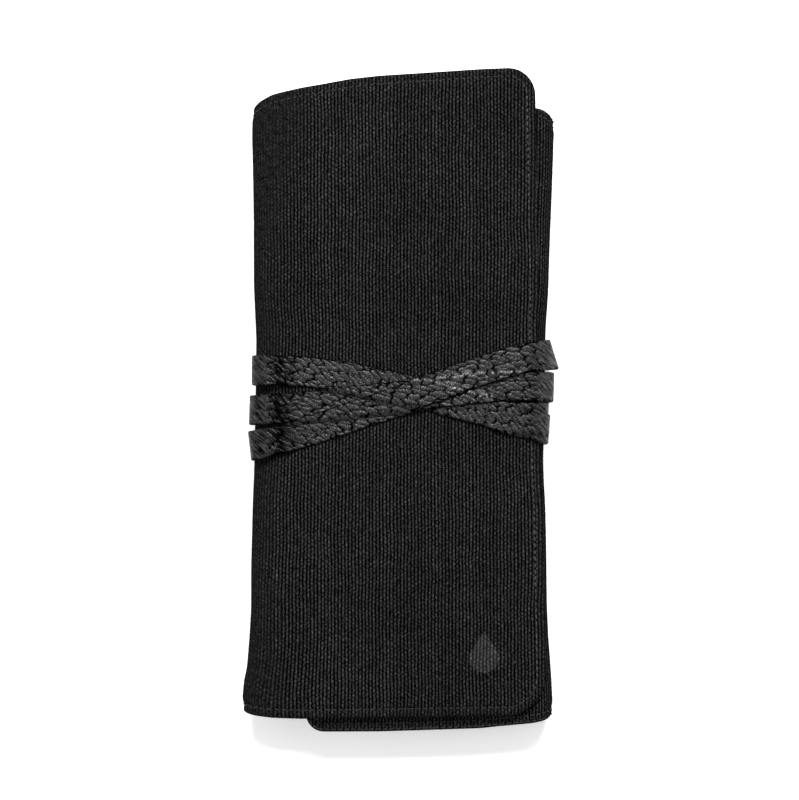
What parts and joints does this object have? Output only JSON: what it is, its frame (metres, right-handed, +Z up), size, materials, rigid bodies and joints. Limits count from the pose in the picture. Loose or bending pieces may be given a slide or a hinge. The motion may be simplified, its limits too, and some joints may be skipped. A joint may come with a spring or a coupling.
{
  "type": "brush roll case",
  "caption": "Tri-fold padded canvas case for brushes with inner pocket rows, two overlapping flaps and a long leather strap wound round its waist.",
  "frame": {"origin": "on the rest surface, under the middle of the closed case lying on its back", "axes": "+Z up out of the outer flap, +Y along the folds towards the end where the outer flap's free corner stands highest, +X towards the fold of the inner flap"},
  "size_m": [0.126, 0.266, 0.0249],
  "materials": {
    "canvas": "plain-woven cotton duck with strong ribs, matt black",
    "padding": "grey felt",
    "lining": "fine black cotton twill",
    "pocket_cloth": "black cotton canvas",
    "tape": "black woven tape",
    "thread": "black polyester thread",
    "leather": "black pebbled leather, satin",
    "print": "dark grey screen print"
  },
  "bodies": {
    "back": {"back_canvas": "canvas", "back_interlining": "padding", "back_lining": "lining", "back_stitching": "thread", "back_pocket_panel": "pocket_cloth", "back_pocket_binding": "tape", "back_pocket_stitching": "thread"},
    "left_spine": {"left_spine_canvas": "canvas", "left_spine_interlining": "padding", "left_spine_lining": "lining"},
    "outer_flap": {"outer_flap_canvas": "canvas", "outer_flap_interlining": "padding", "outer_flap_lining": "lining", "outer_flap_stitching": "thread", "printed_mark": "print"},
    "right_spine": {"right_spine_canvas": "canvas", "right_spine_interlining": "padding", "right_spine_lining": "lining"},
    "inner_flap": {"inner_flap_canvas": "canvas", "inner_flap_interlining": "padding", "inner_flap_lining": "lining", "inner_flap_stitching": "thread", "inner_flap_pocket_panel": "pocket_cloth", "inner_flap_pocket_binding": "tape", "inner_flap_pocket_stitching": "thread"},
    "strap": {"strap": "leather"}
  },
  "joints": [
    {"name": "left_fold", "type": "hinge", "parent": "back", "child": "left_spine", "pos_m": [-0.05778, 0, 0.00322], "axis": [0, -1, 0], "range_deg": [0, 90], "deforming": ["strap"]},
    {"name": "outer_flap_fold", "type": "hinge", "parent": "left_spine", "child": "outer_flap", "pos_m": [-0.05778, 0, 0.02028], "axis": [0, -1, 0], "range_deg": [0, 90]},
    {"name": "right_fold", "type": "hinge", "parent": "back", "child": "right_spine", "pos_m": [0.05836, 0, 0.00264], "axis": [0, 1, 0], "range_deg": [0, 20]},
    {"name": "inner_flap_fold", "type": "hinge", "parent": "right_spine", "child": "inner_flap", "pos_m": [0.05836, 0, 0.01666], "axis": [0, 1, 0], "range_deg": [0, 20]},
    {"name": "strap_slide", "type": "slide", "parent": "back", "child": "strap", "axis": [0, 1, 0], "range_m": [0, 0.165]}
  ],
  "couplings": [
    {"joint": "outer_flap_fold", "follows": "left_fold", "ratio": 1},
    {"joint": "right_fold", "follows": "left_fold", "ratio": 0.22222},
    {"joint": "inner_flap_fold", "follows": "left_fold", "ratio": 0.22222}
  ]
}
